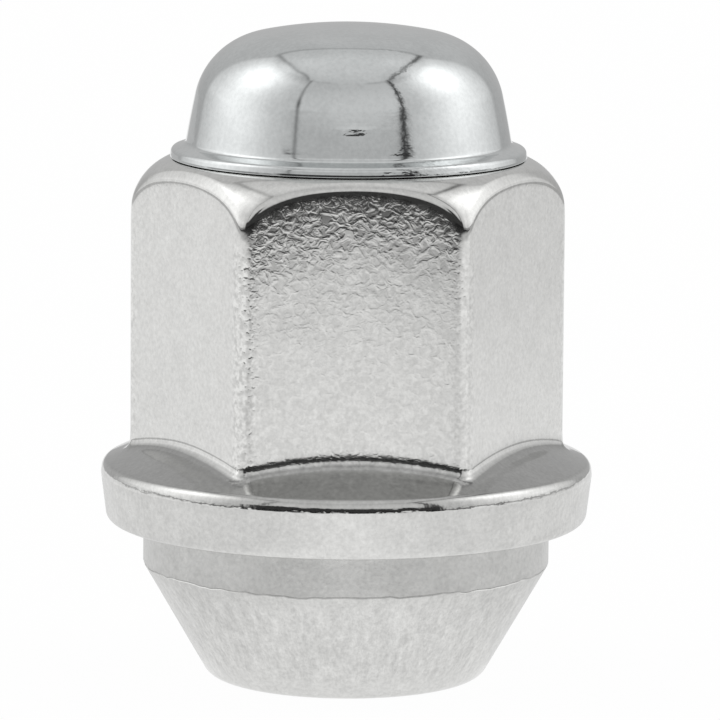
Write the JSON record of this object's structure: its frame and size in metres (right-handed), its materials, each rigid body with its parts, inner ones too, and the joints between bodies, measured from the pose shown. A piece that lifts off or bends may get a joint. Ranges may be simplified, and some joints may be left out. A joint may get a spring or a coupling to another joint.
{
  "type": "lug nut",
  "caption": "Closed-end wheel lug nut: a hex body with a flange and a cone seat, threaded inside, with a drawn dome cap welded over its crown.",
  "frame": {"origin": "centre of the mouth of the thread, in the plane of the flat ring at the small end of the cone, on which the nut stands", "axes": "+Z along the thread's axis, from the mouth towards the dome; -Y is the outward normal of one flat of the hex"},
  "size_m": [0.0272, 0.0272, 0.0363],
  "materials": {
    "body_plating": "polished",
    "cap_plating": "polished"
  },
  "bodies": {
    "root": {"nut_body": "body_plating", "end_cap": "cap_plating"}
  },
  "joints": []
}
